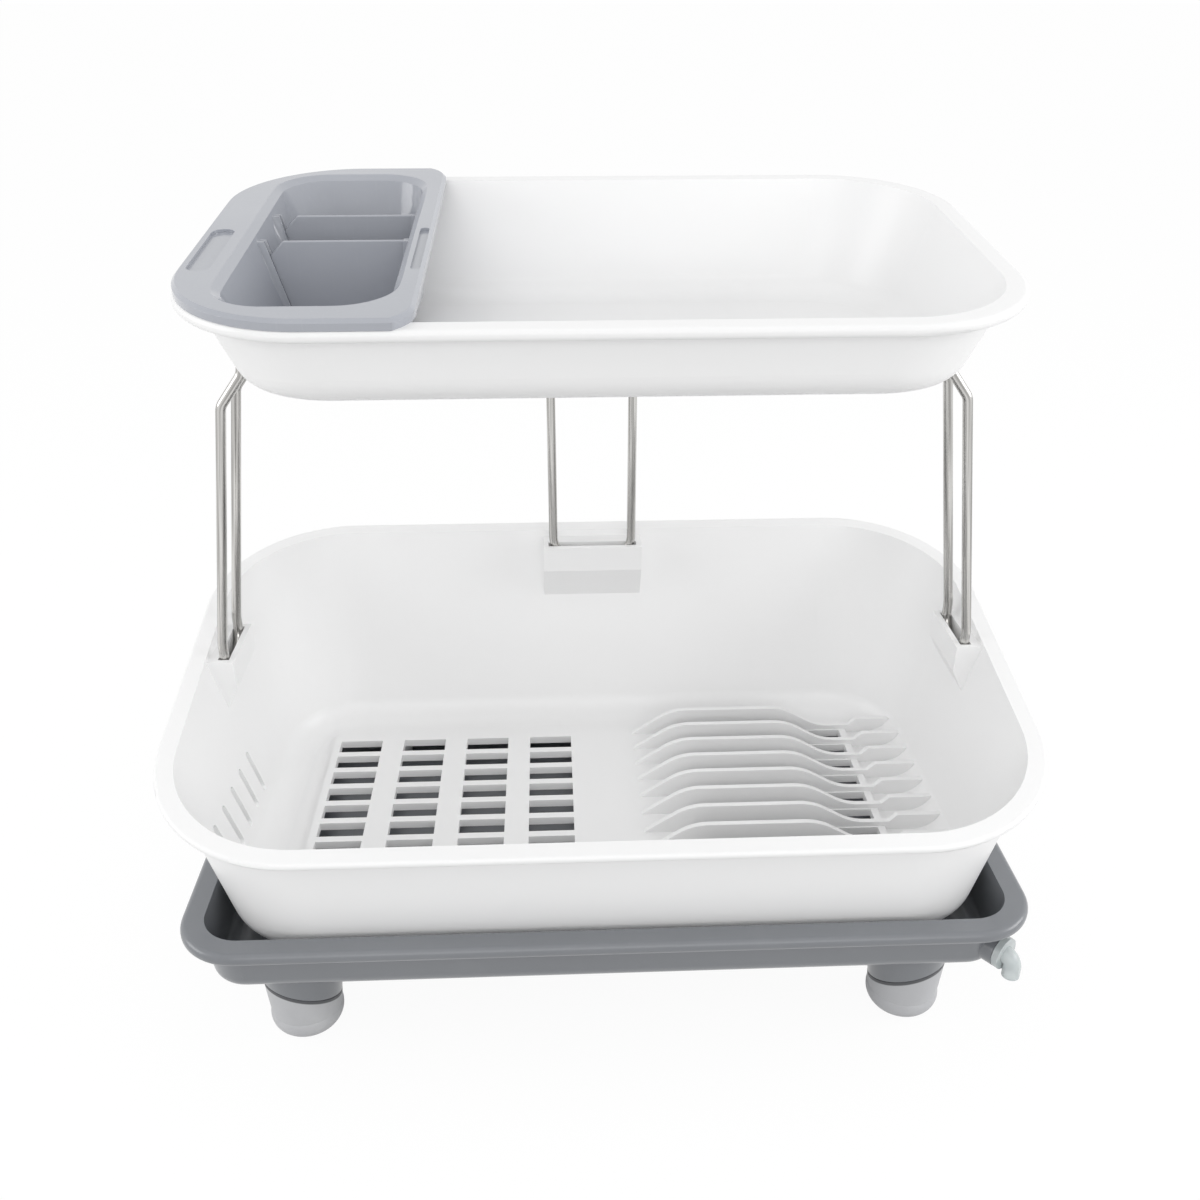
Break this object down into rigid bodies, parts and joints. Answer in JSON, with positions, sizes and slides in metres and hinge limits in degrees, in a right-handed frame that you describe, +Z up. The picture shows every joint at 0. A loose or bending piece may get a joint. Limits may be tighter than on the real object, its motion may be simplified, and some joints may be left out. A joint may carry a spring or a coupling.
{
  "type": "dish drying rack",
  "caption": "Tiered dish drying rack: grey drip tray on soft-soled feet, white high-backed basket with plate ribs, wire legs and an upper tray with a cutlery holder.",
  "frame": {"origin": "on the table, under the middle of the rack's outline", "axes": "+Z up, -Y to the front where the low side of the basket is, +X to the right-hand end"},
  "size_m": [0.43, 0.2585, 0.3851],
  "materials": {
    "white_plastic": "gloss",
    "grey_plastic": "satin",
    "holder_plastic": "gloss",
    "sole_rubber": "matte",
    "spout_plastic": "gloss",
    "leg_wire": "polished"
  },
  "bodies": {
    "base": {"drip_tray": "grey_plastic", "front_left_foot_sole": "sole_rubber", "front_right_foot_sole": "sole_rubber", "back_left_foot_sole": "sole_rubber", "back_right_foot_sole": "sole_rubber"},
    "spout": {"drain_spout": "spout_plastic"},
    "basket": {"lower_basket": "white_plastic", "plate_ribs": "white_plastic"},
    "legs": {"left_leg": "leg_wire", "right_leg": "leg_wire", "back_leg": "leg_wire"},
    "tray": {"upper_tray": "white_plastic"},
    "holder": {"cutlery_holder": "holder_plastic"},
    "divider_front": {"front_divider": "holder_plastic"},
    "divider_rear": {"rear_divider": "holder_plastic"}
  },
  "joints": [
    {"name": "spout_turn", "type": "hinge", "parent": "base", "child": "spout", "pos_m": [0.18541, -0.11744, 0.0585], "axis": [0.6157, -0.788, 0], "range_deg": [-90, 90]},
    {"name": "basket_lift", "type": "slide", "parent": "base", "child": "basket", "axis": [0, 0, 1], "range_m": [0, 0.15]},
    {"name": "legs_lift", "type": "slide", "parent": "basket", "child": "legs", "axis": [0, 0, 1], "range_m": [0, 0.06]},
    {"name": "tray_lift", "type": "slide", "parent": "legs", "child": "tray", "axis": [0, 0, 1], "range_m": [0, 0.05]},
    {"name": "holder_lift", "type": "slide", "parent": "tray", "child": "holder", "axis": [0, 0, 1], "range_m": [0, 0.12]},
    {"name": "front_divider_lift", "type": "slide", "parent": "holder", "child": "divider_front", "axis": [0, 0, 1], "range_m": [0, 0.08]},
    {"name": "rear_divider_lift", "type": "slide", "parent": "holder", "child": "divider_rear", "axis": [0, 0, 1], "range_m": [0, 0.08]}
  ]
}
